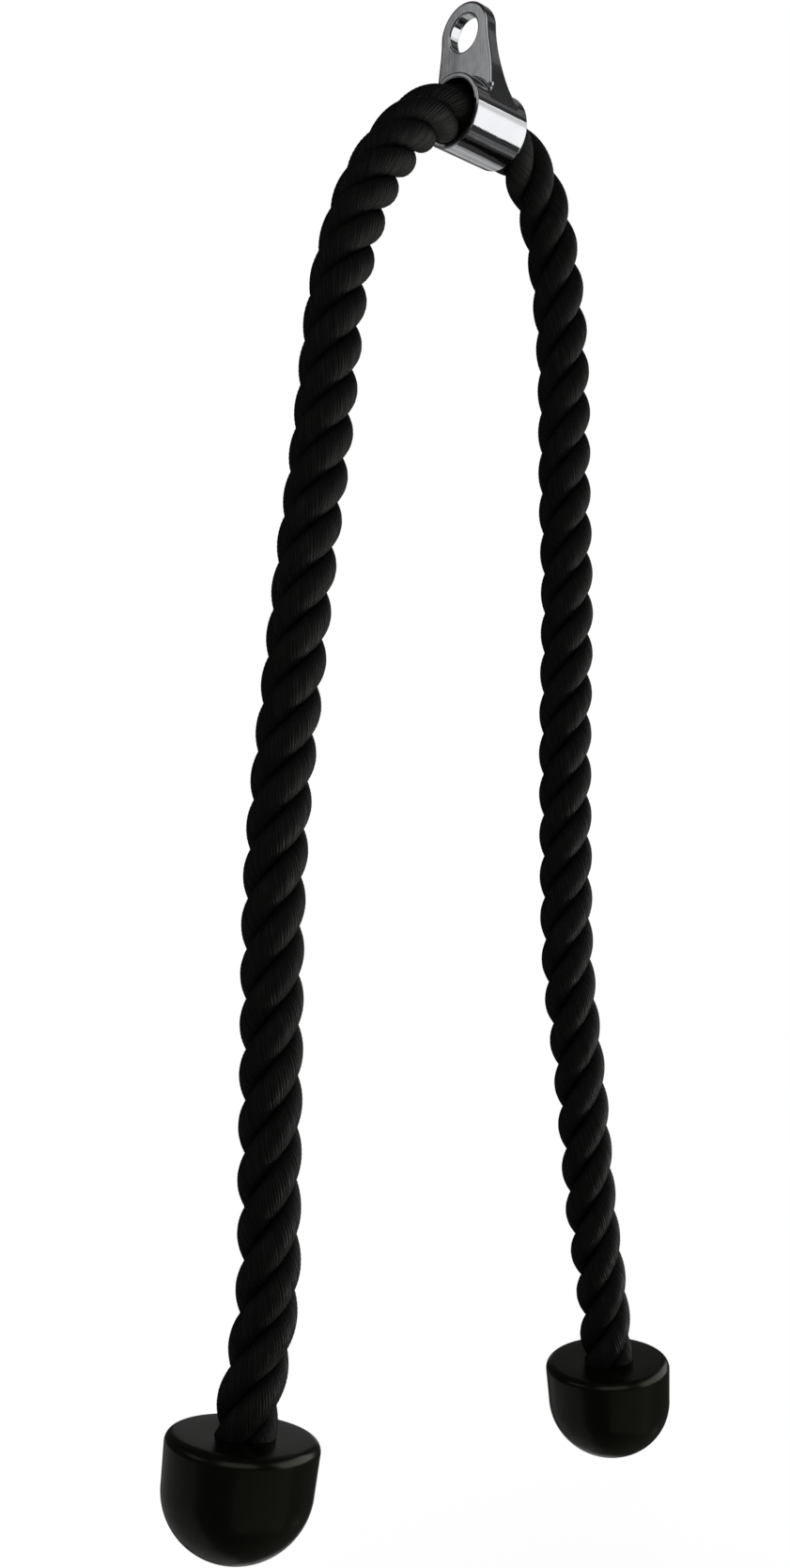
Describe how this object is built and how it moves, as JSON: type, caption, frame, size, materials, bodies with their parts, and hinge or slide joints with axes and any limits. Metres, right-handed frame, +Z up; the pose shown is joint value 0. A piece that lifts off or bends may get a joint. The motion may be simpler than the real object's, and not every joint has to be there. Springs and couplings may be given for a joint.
{
  "type": "triceps rope attachment",
  "caption": "Rope drawn through a chromed steel tube that hangs from an eye, with a moulded cap on each end to pull against.",
  "frame": {"origin": "centre of the eye's hole, midway between the tongue's two faces", "axes": "+Z up along the tongue, +X along the tube and the eye's hole towards the longer leg, +Y away from the picture's camera, square to the plane that the rope hangs in"},
  "size_m": [0.3025, 0.0618, 0.6971],
  "materials": {
    "chrome": "polished",
    "rope_fibre": "satin",
    "cap_rubber": "satin",
    "zinc_steel": "satin",
    "end_tape": "matte"
  },
  "bodies": {
    "bracket": {"eye_bracket": "chrome"},
    "rope_middle": {"rope_centre": "rope_fibre"},
    "left_arch": {"left_mouth_bend": "rope_fibre"},
    "left_leg": {"left_arch_bend": "rope_fibre", "left_upper_leg": "rope_fibre"},
    "left_end": {"left_flex_bend": "rope_fibre", "left_lower_leg": "rope_fibre", "left_end_cap": "cap_rubber", "left_washer": "zinc_steel", "left_crimp_sleeve": "zinc_steel", "left_end_tape": "end_tape"},
    "right_arch": {"right_mouth_bend": "rope_fibre"},
    "right_leg": {"right_arch_bend": "rope_fibre", "right_upper_leg": "rope_fibre"},
    "right_end": {"right_flex_bend": "rope_fibre", "right_lower_leg": "rope_fibre", "right_end_cap": "cap_rubber", "right_washer": "zinc_steel", "right_crimp_sleeve": "zinc_steel", "right_end_tape": "end_tape"}
  },
  "joints": [
    {"name": "rope_turn", "type": "hinge", "parent": "bracket", "child": "rope_middle", "pos_m": [0.0048, 0, -0.0392], "axis": [1, 0, 0], "range_deg": [-90, 90]},
    {"name": "left_mouth_spread", "type": "hinge", "parent": "rope_middle", "child": "left_arch", "pos_m": [-0.02318, 0, -0.04444], "axis": [0, 1, 0], "range_deg": [-2.5, 25], "stiffness_Nm_per_rad": 1, "springref_deg": 12.93, "deforming": ["left_mouth_bend"]},
    {"name": "left_arch_spread", "type": "hinge", "parent": "left_arch", "child": "left_leg", "pos_m": [-0.06122, 0, -0.08327], "axis": [0, 1, 0], "range_deg": [-2.5, 25], "stiffness_Nm_per_rad": 1, "springref_deg": 8.04, "deforming": ["left_arch_bend"]},
    {"name": "left_flex", "type": "hinge", "parent": "left_leg", "child": "left_end", "pos_m": [-0.1098, 0, -0.31584], "axis": [0, 1, 0], "range_deg": [-5, 20], "stiffness_Nm_per_rad": 0.8, "springref_deg": 2.98, "deforming": ["left_flex_bend"]},
    {"name": "right_mouth_spread", "type": "hinge", "parent": "rope_middle", "child": "right_arch", "pos_m": [0.03286, 0, -0.04409], "axis": [0, -1, 0], "range_deg": [-2.5, 25], "stiffness_Nm_per_rad": 1, "springref_deg": 8, "deforming": ["right_mouth_bend"]},
    {"name": "right_arch_spread", "type": "hinge", "parent": "right_arch", "child": "right_leg", "pos_m": [0.06252, 0, -0.08801], "axis": [0, -1, 0], "range_deg": [-2.5, 25], "stiffness_Nm_per_rad": 1, "springref_deg": 4.13, "deforming": ["right_arch_bend"]},
    {"name": "right_flex", "type": "hinge", "parent": "right_leg", "child": "right_end", "pos_m": [0.07129, 0, -0.32631], "axis": [0, -1, 0], "range_deg": [-5, 20], "stiffness_Nm_per_rad": 0.8, "springref_deg": 3.82, "deforming": ["right_flex_bend"]}
  ],
  "couplings": [
    {"joint": "left_arch_spread", "follows": "left_mouth_spread", "ratio": 1},
    {"joint": "right_arch_spread", "follows": "right_mouth_spread", "ratio": 1}
  ]
}
